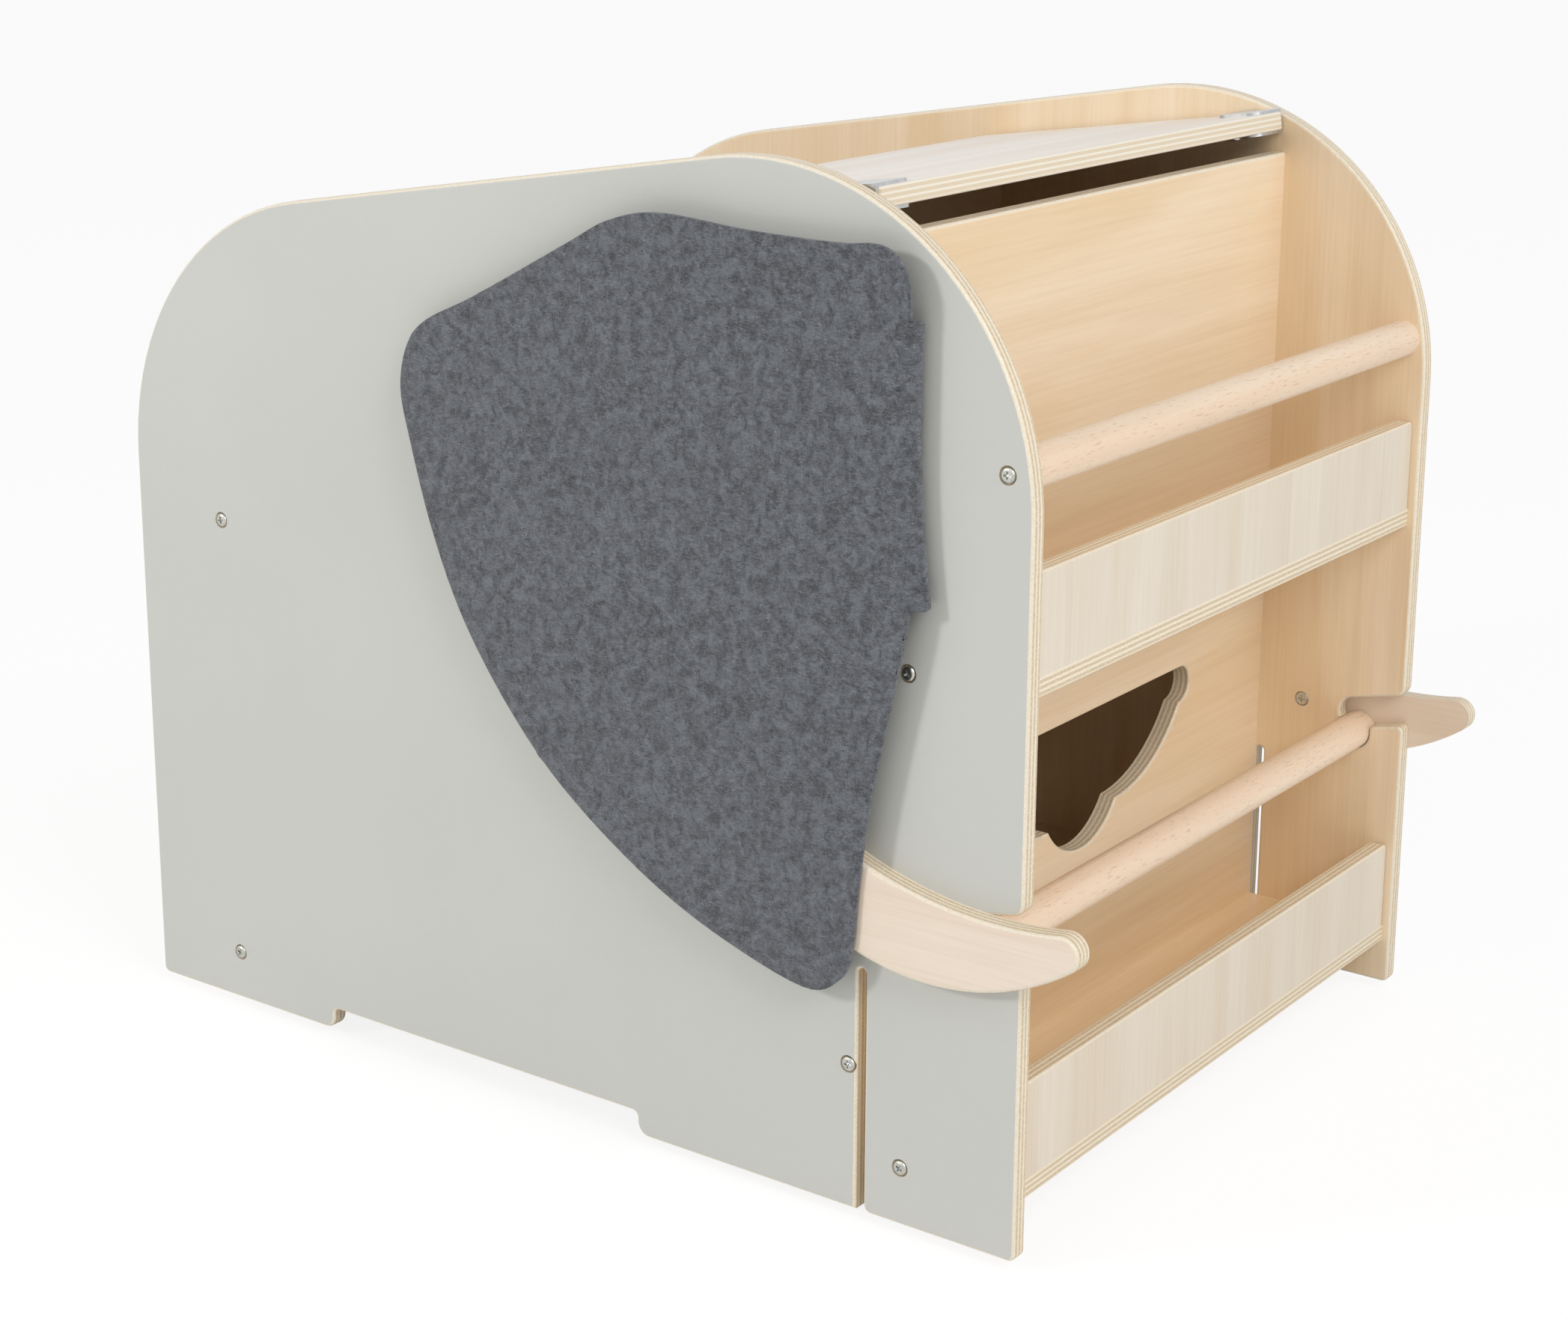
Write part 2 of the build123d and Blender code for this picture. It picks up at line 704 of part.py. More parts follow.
with BuildPart() as lid_board:
    with BuildSketch(lid_plane.offset(-board_thick / 2)) as lid_outline:
        middle = (lid_rear_reach - lid_front_reach) / 2
        with Locations((0, middle)):
            Rectangle(2 * lid_half_width, lid_rear_reach + lid_front_reach)
        fillet(lid_outline.vertices(), lid_corner_radius)
    extrude(amount=board_thick)
    broad = lid_board.faces().sort_by(Axis.Z)
    fillet(broad[0].edges() + broad[-1].edges(), lid_round)
    for side in (-1, 1):
        bore_clamp_screws(side)
        with Locations(facing(at(side * pin_inner, pivot_depth, pivot_height), (side, 0, 0))):
            Cylinder(
                pin_diameter / 2,
                lid_half_width,
                align=(Align.CENTER, Align.CENTER, Align.MIN),
                mode=Mode.SUBTRACT,
            )
save(lid_board, "lid_board")

for side, name in ((-1, "left"), (1, "right")):
    pin_start = facing(at(side * pin_inner, pivot_depth, pivot_height), (side, 0, 0))
    bush_start = facing(at(side * inner_half, pivot_depth, pivot_height), (side, 0, 0))
    with BuildPart() as lid_clamp:
        with BuildSketch(lid_plane.offset(-clamp_half)) as clamp_outline:
            row = (clamp_rear_reach - clamp_front_reach) / 2
            with Locations((side * clamp_middle, row)):
                Rectangle(clamp_width, clamp_front_reach + clamp_rear_reach)
            inner_corners = clamp_outline.vertices().sort_by(Axis.X)[:2]
            if side < 0:
                inner_corners = clamp_outline.vertices().sort_by(Axis.X)[-2:]
            fillet(inner_corners, clamp_corner_radius)
        extrude(amount=2 * clamp_half)
        with BuildSketch(lid_plane.offset(-board_thick / 2)):
            with Locations((side * (lid_half_width - clamp_width), row)):
                Rectangle(2 * clamp_width, 2 * (clamp_front_reach + clamp_rear_reach))
        extrude(amount=board_thick, mode=Mode.SUBTRACT)
        bore_clamp_screws(side)
        with Locations(pin_start):
            Cylinder(
                pin_diameter / 2,
                3 * pin_diameter,
                align=(Align.CENTER, Align.CENTER, Align.MIN),
                mode=Mode.SUBTRACT,
            )
    save(lid_clamp, f"lid_clamp_{name}")
    with BuildPart() as pivot_pin:
        with Locations(pin_start):
            Cylinder(
                pin_diameter / 2, pin_outer - pin_inner, align=(Align.CENTER, Align.CENTER, Align.MIN)
            )
    save(pivot_pin, f"pivot_pin_{name}")
    with BuildPart() as pivot_bush:
        with Locations(bush_start):
            Cylinder(bush_diameter / 2, bush_length, align=(Align.CENTER, Align.CENTER, Align.MIN))
            Cylinder(
                bush_flange_diameter / 2,
                bush_flange_thick,
                align=(Align.CENTER, Align.CENTER, Align.MAX),
            )
            Cylinder(pin_diameter / 2 + pin_clearance, 3 * bush_length, mode=Mode.SUBTRACT)
    save(pivot_bush, f"pivot_bush_{name}")

with BuildPart() as lid_clamp_screws:
    for side in (-1, 1):
        with Locations(*clamp_screw_locations(side)):
            add(screw(small_screw, clamp_screw_length))
save(lid_clamp_screws, "lid_clamp_screws")

# Swivel casters under the floor
kingpin_low = caster_plate_bottom - crown_gap - crown_thick - crown_gap
crown_low = kingpin_low + crown_gap
axle_height = wheel_diameter / 2 - panel_lift
leg_inner = wheel_width / 2 + wheel_side_gap
leg_outer = leg_inner + fork_plate
for name, x, depth in caster_places:
    axle_left = facing(at(x - leg_outer, depth + wheel_trail, axle_height), (1, 0, 0))
    with BuildPart() as caster_plate:
        with Locations(at(x, depth, floor_bottom)):
            Box(
                caster_plate_size,
                caster_plate_size,
                caster_plate_thick,
                align=(Align.CENTER, Align.CENTER, Align.MAX),
            )
        fillet(caster_plate.edges().filter_by(Axis.Z), caster_plate_corner)
        with Locations(at(x, depth, caster_plate_bottom)):
            Cylinder(
                kingpin_diameter / 2,
                caster_plate_bottom - kingpin_low,
                align=(Align.CENTER, Align.CENTER, Align.MAX),
            )
        with Locations(at(x, depth, kingpin_low)):
            Cylinder(
                kingpin_head_diameter / 2,
                kingpin_head_height,
                align=(Align.CENTER, Align.CENTER, Align.MAX),
            )
        bore(small_screw, caster_screw_length, caster_screws, (0, 0, -1))
    save(caster_plate, f"caster_plate_{name}")
    with BuildPart() as caster_fork:
        with BuildSketch(side_plane(x - leg_outer)) as leg:
            with BuildLine():
                Polyline(
                    (depth - fork_leg_width / 2, crown_low + crown_thick / 2),
                    (depth + fork_leg_width / 2, crown_low + crown_thick / 2),
                    (depth + wheel_trail + axle_head_diameter * 0.75, axle_height),
                    (depth + wheel_trail, axle_height - axle_head_diameter * 0.75),
                    (depth + wheel_trail - axle_head_diameter * 0.75, axle_height),
                    close=True,
                )
            make_face()
            with Locations((depth + wheel_trail, axle_height)):
                Circle(axle_head_diameter * 0.75)
        extrude(amount=2 * leg_outer)
        with Locations(at(x, depth, crown_low)):
            Box(
                2 * leg_inner,
                4 * wheel_diameter,
                2 * wheel_diameter,
                align=(Align.CENTER, Align.CENTER, Align.MAX),
                mode=Mode.SUBTRACT,
            )
            Cylinder(crown_diameter / 2, crown_thick, align=(Align.CENTER, Align.CENTER, Align.MIN))
            Cylinder(
                kingpin_diameter / 2 + axle_clearance, 4 * crown_thick, mode=Mode.SUBTRACT
            )
        with Locations(axle_left):
            Cylinder(
                axle_diameter / 2,
                2 * leg_outer,
                align=(Align.CENTER, Align.CENTER, Align.MIN),
                mode=Mode.SUBTRACT,
            )
    save(caster_fork, f"caster_fork_{name}")
    with BuildPart() as caster_axle:
        with Locations(axle_left):
            Cylinder(axle_diameter / 2, 2 * leg_outer, align=(Align.CENTER, Align.CENTER, Align.MIN))
            Cylinder(
                axle_head_diameter / 2, axle_head_height, align=(Align.CENTER, Align.CENTER, Align.MAX)
            )
        with Locations(axle_left * Location((0, 0, 2 * leg_outer))):
            Cylinder(
                axle_head_diameter / 2, axle_head_height, align=(Align.CENTER, Align.CENTER, Align.MIN)
            )
    save(caster_axle, f"caster_axle_{name}")
    with BuildPart() as caster_wheel:
        with Locations(facing(at(x, depth + wheel_trail, axle_height), (1, 0, 0))):
            Cylinder(wheel_diameter / 2, wheel_width)
        fillet(caster_wheel.edges().filter_by(GeomType.CIRCLE), tread_round)
        with Locations(facing(at(x, depth + wheel_trail, axle_height), (1, 0, 0))):
            Cylinder(axle_diameter / 2 + axle_clearance, 2 * wheel_width, mode=Mode.SUBTRACT)
    save(caster_wheel, f"caster_wheel_{name}")

# Screws
for name, size, length, places, outward in (
    ("panel_screws_left", panel_screw, panel_screw_length, left_screws, (-1, 0, 0)),
    ("panel_screws_right", panel_screw, panel_screw_length, right_screws, (1, 0, 0)),
    ("tusk_screws_left", tusk_screw, tusk_screw_length, tusk_screws_left, (1, 0, 0)),
    ("tusk_screws_right", tusk_screw, tusk_screw_length, tusk_screws_right, (-1, 0, 0)),
    ("ear_screws_left", small_screw, ear_screw_length, ear_screws_left, (-1, 0, 0)),
    ("ear_screws_right", small_screw, ear_screw_length, ear_screws_right, (1, 0, 0)),
    ("tray_screws", small_screw, tray_screw_length, tray_screws, (0, 1, 0)),
    ("rail_screws", small_screw, rail_screw_length, rail_screws, (0, 0, -1)),
    ("divider_screws", small_screw, divider_screw_length, divider_screws, (0, 0, -1)),
    ("floor_screws", small_screw, floor_screw_length, floor_screws, (0, 0, 1)),
    ("caster_screws", small_screw, caster_screw_length, caster_screws, (0, 0, -1)),
):
    with BuildPart() as screws:
        drive(size, length, places, outward)
    save(screws, name)

with BuildPart() as cleat_screws:
    drive(small_screw, cleat_screw_length, cleat_screws_left, (1, 0, 0))
    drive(small_screw, cleat_screw_length, cleat_screws_right, (-1, 0, 0))
save(cleat_screws, "cleat_screws")
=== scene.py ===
"""Elephant-shaped toy chest: plywood, paint, felt ears, and the studio round it.

Everything is in metres in the chest's own frame: the elephant faces -Y and stands on Z = 0.
"""

import json
from math import cos, pi, radians, sin

import bmesh
import bpy
from mathutils import Matrix, Vector


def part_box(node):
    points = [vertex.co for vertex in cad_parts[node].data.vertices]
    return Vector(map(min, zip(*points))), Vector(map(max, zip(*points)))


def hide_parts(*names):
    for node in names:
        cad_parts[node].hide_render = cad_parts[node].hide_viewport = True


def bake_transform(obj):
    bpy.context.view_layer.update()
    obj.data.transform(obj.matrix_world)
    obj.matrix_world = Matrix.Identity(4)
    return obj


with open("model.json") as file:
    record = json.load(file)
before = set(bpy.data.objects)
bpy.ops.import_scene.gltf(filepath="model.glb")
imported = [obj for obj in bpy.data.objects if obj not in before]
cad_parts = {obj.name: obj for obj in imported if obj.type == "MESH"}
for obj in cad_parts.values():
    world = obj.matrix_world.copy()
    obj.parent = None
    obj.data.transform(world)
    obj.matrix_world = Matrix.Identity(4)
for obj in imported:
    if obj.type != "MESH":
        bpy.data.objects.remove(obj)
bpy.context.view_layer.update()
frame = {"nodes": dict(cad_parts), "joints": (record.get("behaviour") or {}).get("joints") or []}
nodes = frame["nodes"]
joints = {joint["name"]: joint for joint in frame["joints"]}

# The panels' front edge and bottom, from which the chest was measured
panel_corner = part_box("side_panel_left")[0]
PANEL_FRONT = panel_corner.y
PANEL_BOTTOM = panel_corner.z


def srgb(red, green, blue):
    """A colour as a colour picker shows it, 0 to 255, turned linear."""
    return tuple(
        c / 12.92 if c <= 0.04045 else ((c + 0.055) / 1.055) ** 2.4
        for c in (red / 255, green / 255, blue / 255)
    ) + (1.0,)


def toned(colour, factor):
    """The same colour, darker or lighter."""
    return tuple(c * factor for c in colour[:3]) + (1.0,)


class Socket:
    """A shader output that takes Python's operators."""

    def __init__(self, finish, output):
        self.finish = finish
        self.output = output

    def math(self, operation, *values, clamp=False):
        settings = {"operation": operation, "use_clamp": clamp}
        return self.finish.add("ShaderNodeMath", settings, dict(enumerate(values)))

    def __add__(self, other):
        return self.math("ADD", self, other)

    def __mul__(self, other):
        return self.math("MULTIPLY", self, other)

    def __sub__(self, other):
        return self.math("SUBTRACT", self, other)

    def __rsub__(self, other):
        return self.math("SUBTRACT", other, self)

    def __truediv__(self, other):
        return self.math("DIVIDE", self, other)

    def __gt__(self, other):
        return self.math("GREATER_THAN", self, other)

    def __lt__(self, other):
        return self.math("LESS_THAN", self, other)

    def abs(self):
        return self.math("ABSOLUTE", self)

    def fract(self):
        return self.math("FRACT", self)

    def within(self, low, high):
        """0 below low, 1 above high, smooth between."""
        settings = {"interpolation_type": "SMOOTHSTEP"}
        return self.finish.add("ShaderNodeMapRange", settings, {0: self, 1: low, 2: high})


class Finish:
    """A material under construction."""

    def __init__(self, name, **base):
        self.material = bpy.data.materials.new(name)
        self.material.use_nodes = True
        self.tree = self.material.node_tree
        self.shader = self.tree.nodes["Principled BSDF"]
        for socket, value in base.items():
            self.shader.inputs[socket.replace("_", " ")].default_value = value

    def add(self, kind, settings=None, inputs=None, output=0):
        """One node: its settings first, then the values or links of its sockets."""
        node = self.tree.nodes.new(kind)
        for key, value in (settings or {}).items():
            setattr(node, key, value)
        for key, value in (inputs or {}).items():
            if isinstance(value, Socket):
                self.tree.links.new(value.output, node.inputs[key])
            else:
                node.inputs[key].default_value = value
        return Socket(self, node.outputs[output])

    def place(self, scale=(1, 1, 1), turn=(0, 0, 0), shift=(0, 0, 0)):
        """Object coordinates, scaled and turned."""
        coordinates = self.add("ShaderNodeTexCoord", output="Object")
        inputs = {"Vector": coordinates, "Scale": scale, "Rotation": turn, "Location": shift}
        return self.add("ShaderNodeMapping", inputs=inputs)

    def axes(self):
        """The three object coordinates, one by one."""
        split = self.tree.nodes.new("ShaderNodeSeparateXYZ")
        coordinates = self.add("ShaderNodeTexCoord", output="Object")
        self.tree.links.new(coordinates.output, split.inputs[0])
        return [Socket(self, output) for output in split.outputs]

    def noise(self, vector, scale=1.0, detail=3.0, rough=0.5, distortion=0.0):
        inputs = {
            "Vector": vector,
            "Scale": scale,
            "Detail": detail,
            "Roughness": rough,
            "Distortion": distortion,
        }
        return self.add("ShaderNodeTexNoise", inputs=inputs, output="Fac")

    def mix(self, mask, first, second, blend="MIX"):
        settings = {"data_type": "RGBA", "blend_type": blend}
        return self.add("ShaderNodeMix", settings, {0: mask, 6: first, 7: second}, output=2)

    def bump(self, height, distance, strength=1.0):
        inputs = {"Height": height, "Distance": distance, "Strength": strength}
        normal = self.add("ShaderNodeBump", inputs=inputs)
        self.tree.links.new(normal.output, self.shader.inputs["Normal"])

    def feed(self, socket, value):
        self.tree.links.new(value.output, self.shader.inputs[socket])


PLIES = 7.0  # in 12 mm of board


def plywood(name, axis, low, high, grain, pale, deep, paint=None, mirrored=False):
    """Birch plywood: veneer with grain on its two faces, and laid plies along its edges.

    axis is the board's thickness, from low to high, and grain the axis its veneer runs along.
    """
    wood = Finish(name, Roughness=0.42, Coat_Weight=0.12, Coat_Roughness=0.35)
    place = wood.axes()[axis]
    if mirrored:
        place = place.abs()
    depth = (place - low) / (high - low)
    edge = (depth > 0.012) * (depth < 0.988)

    # Veneer: long soft bands, fine fibres and a few darker streaks along the grain
    stretch = [9.0, 9.0, 9.0]
    stretch[grain] = 0.9
    fine = [420.0, 420.0, 420.0]
    fine[grain] = 9.0
    streak = [70.0, 70.0, 70.0]
    streak[grain] = 1.6
    bands = wood.noise(wood.place(stretch), 1.6, 4.0, 0.55, 0.9)
    fibres = wood.noise(wood.place(fine), 1.0, 2.0, 0.6)
    streaks = wood.noise(wood.place(streak), 1.0, 3.0, 0.6, 0.4).within(0.52, 0.72)
    veneer = wood.mix(bands.within(0.3, 0.72), pale, deep)
    veneer = wood.mix(streaks * 0.16, veneer, toned(deep, 0.82))
    veneer = wood.mix(fibres.within(0.35, 0.75) * 0.1, veneer, srgb(190, 150, 105))

    # Edge: every other ply shows end grain, with glue lines between them
    layer = depth * PLIES
    wander = wood.noise(wood.place((6, 6, 6)), 1.0, 2.0) * 0.12 - 0.06
    layer = layer + wander
    odd = (layer * 0.5).fract() > 0.5
    inside = (layer.fract() - 0.5).abs()
    glue = inside.within(0.43, 0.5)
    speck = wood.noise(wood.place((700, 700, 700)), 1.0, 2.0, 0.7)
    long_grain = wood.mix(speck.within(0.3, 0.7), srgb(244, 235, 216), srgb(234, 221, 197))
    end_grain = wood.mix(speck.within(0.35, 0.65), srgb(224, 206, 176), srgb(206, 184, 150))
    plies = wood.mix(odd, long_grain, end_grain)
    plies = wood.mix(glue * 0.4, plies, srgb(190, 152, 126))

    colour = wood.mix(edge, veneer, plies)
    height = fibres * 0.3 + speck * edge * 0.5 + bands * 0.1
    if paint:
        # Matt paint on the outer face only, rolled on over the veneer
        painted = depth > 0.988
        roller = wood.noise(wood.place((900, 900, 900)), 1.0, 2.0, 0.6)
        shade = wood.noise(wood.place((7, 7, 7)), 1.0, 3.0)
        coat = wood.mix(shade.within(0.3, 0.7), paint, toned(paint, 0.975))
        colour = wood.mix(painted, colour, coat)
        height = height * (1 - painted) + roller * painted * 0.6
        wood.feed("Roughness", painted * 0.2 + 0.4)
    else:
        wood.feed("Roughness", fibres * 0.12 + 0.36 + edge * 0.12)
    wood.feed("Base Color", colour)
    wood.bump(height, 0.00012)
    return wood.material


def beech(name):
    """Turned beech, with short dark flecks along the rod."""
    wood = Finish(name, Roughness=0.45, Coat_Weight=0.08, Coat_Roughness=0.4)
    bands = wood.noise(wood.place((1.4, 60, 60)), 1.0, 3.0, 0.5, 0.5)
    flecks = wood.noise(wood.place((120, 900, 900)), 1.0, 1.0, 0.5).within(0.60, 0.72)
    fibres = wood.noise(wood.place((14, 500, 500)), 1.0, 2.0, 0.6)
    colour = wood.mix(bands.within(0.3, 0.7), srgb(247, 227, 204), srgb(238, 212, 184))
    colour = wood.mix(fibres * 0.18, colour, srgb(208, 168, 132))
    colour = wood.mix(flecks * 0.3, colour, srgb(180, 128, 92))
    wood.feed("Base Color", colour)
    wood.feed("Roughness", fibres * 0.14 + 0.38)
    wood.bump(fibres * 0.4 + flecks * -0.4, 0.0001)
    return wood.material


def wool_felt(name):
    """Pressed heather felt: dark and light wool in clouds, with loose fibres on top."""
    felt = Finish(name, Roughness=0.95, Sheen_Weight=0.35, Sheen_Roughness=0.5)
    felt.shader.inputs["Specular IOR Level"].default_value = 0.15
    clouds = felt.noise(felt.place((1, 1, 1)), 130.0, 6.0, 0.75, 0.5)
    tufts = felt.noise(felt.place((1, 1, 1)), 620.0, 4.0, 0.75, 1.0)
    slant = felt.noise(felt.place((340, 340, 1500), (0.5, 0.2, 0.1)), 1.0, 3.0, 0.7, 0.8)
    cross = felt.noise(felt.place((1500, 1500, 360), (0.2, -0.4, 0.3)), 1.0, 3.0, 0.7, 0.8)
    hairs = slant.within(0.5, 0.68) * 0.5 + cross.within(0.52, 0.7) * 0.5
    wool = felt.mix(clouds.within(0.36, 0.64), srgb(66, 68, 72), srgb(122, 126, 133))
    wool = felt.mix(tufts.within(0.4, 0.62) * 0.5, wool, srgb(84, 86, 91))
    wool = felt.mix(hairs * 0.6, wool, srgb(178, 182, 190))
    wool = felt.mix((slant < 0.41) * 0.55, wool, srgb(40, 40, 43))
    felt.feed("Base Color", wool)
    felt.bump(tufts * 0.6 + hairs * 0.5 + clouds * 0.5, 0.0009, 0.9)
    return felt.material


def metal(name, colour, rough, tint):
    """Zinc or steel sheet with a faint mottle."""
    finish = Finish(name, Metallic=1.0, Roughness=rough)
    mottle = finish.noise(finish.place((260, 260, 260)), 1.0, 3.0, 0.6)
    scratch = finish.noise(finish.place((1800, 1800, 240)), 1.0, 2.0, 0.6)
    finish.feed("Base Color", finish.mix(mottle.within(0.35, 0.7), colour, tint))
    finish.feed("Roughness", mottle * 0.16 + rough - 0.06)
    finish.bump(scratch, 0.00003)
    return finish.material


def moulded(name, colour, rough, grain):
    """Moulded plastic or rubber, with a fine sandblasted skin and a little dust."""
    finish = Finish(name, Roughness=rough)
    skin = finish.noise(finish.place((grain, grain, grain)), 1.0, 3.0, 0.6)
    dust = finish.noise(finish.place((60, 60, 60)), 1.0, 4.0, 0.6).within(0.45, 0.75)
    lighter = tuple(min(1.0, c * 1.5 + 0.01) for c in colour[:3]) + (1.0,)
    finish.feed("Base Color", finish.mix(dust * 0.5, colour, lighter))
    finish.feed("Roughness", dust * 0.15 + rough)
    finish.bump(skin, 0.00015)
    return finish.material


BIRCH_PALE = srgb(250, 231, 203)
BIRCH_DEEP = srgb(240, 213, 174)
GREY_PAINT = srgb(206, 206, 200)


def board_finish(node, grain, pale=BIRCH_PALE, deep=BIRCH_DEEP, paint=None, mirrored=False):
    """Plywood for one board, whose thickness is its thinnest side."""
    low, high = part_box(node)
    sizes = [high[i] - low[i] for i in range(3)]
    axis = sizes.index(min(sizes))
    span = (low[axis], high[axis])
    if mirrored:
        span = tuple(sorted(abs(value) for value in span))
    return plywood(f"{node}_birch", axis, *span, grain, pale, deep, paint, mirrored)


def dress(material, *names):
    for name in names:
        mesh = nodes[name].data
        mesh.materials.clear()
        mesh.materials.append(material)


panel = board_finish("side_panel_right", 2, paint=GREY_PAINT, mirrored=True)
dress(panel, "side_panel_left", "side_panel_right")
for board in ("front_board", "divider_board", "rear_board", "floor_board"):
    dress(board_finish(board, 0), board)
for tray in ("lower", "upper"):
    dress(board_finish(f"{tray}_tray_base", 0), f"{tray}_tray_base")
    rail = board_finish(f"{tray}_tray_rail", 2, srgb(232, 222, 206), srgb(222, 207, 184))
    dress(rail, f"{tray}_tray_rail")
tusk = board_finish(
    "tusk_right", 1, srgb(244, 229, 212), srgb(236, 216, 194), mirrored=True
)
dress(tusk, "tusk_left", "tusk_right")
strip = board_finish("ear_strip_right", 2, mirrored=True)
dress(strip, "ear_strip_left", "ear_strip_right")
cleat = board_finish(
    "floor_cleat_right", 1, srgb(232, 208, 170), srgb(214, 182, 140), mirrored=True
)
dress(cleat, "floor_cleat_left", "floor_cleat_right")
dress(beech("turned_beech"), "upper_rod", "lower_rod")


LID_SLOPE = radians(7.9)
LID_THICK = 0.012


def lid_veneer():
    """The lid's plywood: its thickness is measured square to its slope."""
    joint = joints["lid_hinge"]["pos_m"]
    wood = Finish("lid_whitewashed_birch", Roughness=0.45, Coat_Weight=0.1, Coat_Roughness=0.4)
    _, y, z = wood.axes()
    depth = ((y - joint[1]) * sin(LID_SLOPE) + (z - joint[2]) * cos(LID_SLOPE)) / LID_THICK + 0.5
    edge = (depth > 0.03) * (depth < 0.97)
    bands = wood.noise(wood.place((1.2, 16, 16)), 1.4, 4.0, 0.55, 0.8)
    fibres = wood.noise(wood.place((12, 420, 420)), 1.0, 2.0, 0.6)
    top = wood.mix(bands.within(0.3, 0.7), srgb(250, 244, 237), srgb(244, 233, 221))
    top = wood.mix(fibres * 0.15, top, srgb(216, 196, 172))
    layer = depth * PLIES
    speck = wood.noise(wood.place((700, 700, 700)), 1.0, 2.0, 0.7)
    glue = (layer.fract() - 0.5).abs().within(0.40, 0.49)
    pale = wood.mix(speck, srgb(246, 240, 226), srgb(238, 228, 208))
    plies = wood.mix((layer * 0.5).fract() > 0.5, pale, srgb(226, 210, 182))
    plies = wood.mix(glue * 0.35, plies, srgb(190, 154, 130))
    wood.feed("Base Color", wood.mix(edge, top, plies))
    wood.feed("Roughness", fibres * 0.12 + 0.4)
    wood.bump(fibres * 0.3 + speck * edge * 0.5, 0.0001)
    return wood.material


dress(lid_veneer(), "lid_board")
zinc = metal("zinc_plate", srgb(196, 198, 196), 0.28, srgb(214, 212, 200))
steel = metal("bent_steel", srgb(188, 190, 192), 0.36, srgb(204, 204, 202))
tread = moulded("soft_tread", srgb(58, 58, 60), 0.62, 900)
nylon = moulded("nylon_bush", srgb(232, 228, 218), 0.45, 700)
felt = wool_felt("heather_felt")
for name, node in nodes.items():
    if "screws" in name:
        dress(zinc, name)
    elif name.startswith(("lid_clamp", "pivot_pin", "caster_plate", "caster_fork", "caster_axle")):
        dress(steel, name)
    elif name.startswith("caster_wheel"):
        dress(tread, name)
    elif name.startswith("pivot_bush"):
        dress(nylon, name)
    elif name.startswith("ear_") and "strip" not in name:
        dress(felt, name)


# Felt ears. Each is one sheet: a flap screwed to the panel, rolled forward and back into the ear.
MM = 0.001
FELT = 3.5 * MM
FOLD_DEPTH = 75 * MM
FOLD_LOW = 376 * MM
FOLD_HIGH = 535 * MM
FOLD_FLARE = 8.5 * MM  # how far the fold's lower end stands forward
FLARE_HEIGHT = 90 * MM
WAVE = 0.54 * MM
RIM_SOFTNESS = 0.7 * MM
TAB_CORNER = 6 * MM
TAB_NECK = 9 * MM
STEP = 10 * MM  # the sheet's mesh, away from the fold
TAB_STEP = 6 * MM
EAR_OUTLINE = [
    (67.5, 376),
    (74, 343),
    (91, 265),
    (99, 210),
    (103, 169),
    (112, 149),
    (137, 139),
    (202, 157),
    (258, 183),
    (316, 222),
    (357, 263),
    (393, 314),
    (417, 367),
    (434, 422),
    (441, 454),
    (435, 481),
    (419, 498),
    (379, 517),
    (309, 554),
    (276, 571),
    (240, 578),
    (180, 574),
    (120, 572.5),
    (92, 574),
    (78, 567),
    (71, 552),
    (70, 536),
]


def smooth_line(points, steps=6):
    """A Catmull-Rom line through the points, ends kept."""
    points = [Vector(p) for p in points]
    padded = [2 * points[0] - points[1]] + points + [2 * points[-1] - points[-2]]
    line = []
    for a, b, c, d in zip(padded, padded[1:], padded[2:], padded[3:]):
        for step in range(steps):
            t = step / steps
            line.append(
                0.5 * (2 * b + (c - a) * t + (2 * a - 5 * b + 4 * c - d) * t**2
                       + (3 * b - a - 3 * c + d) * t**3)
            )
    return line + [points[-1]]


def ease(t):
    t = min(1.0, max(0.0, t))
    return t * t * (3 - 2 * t)


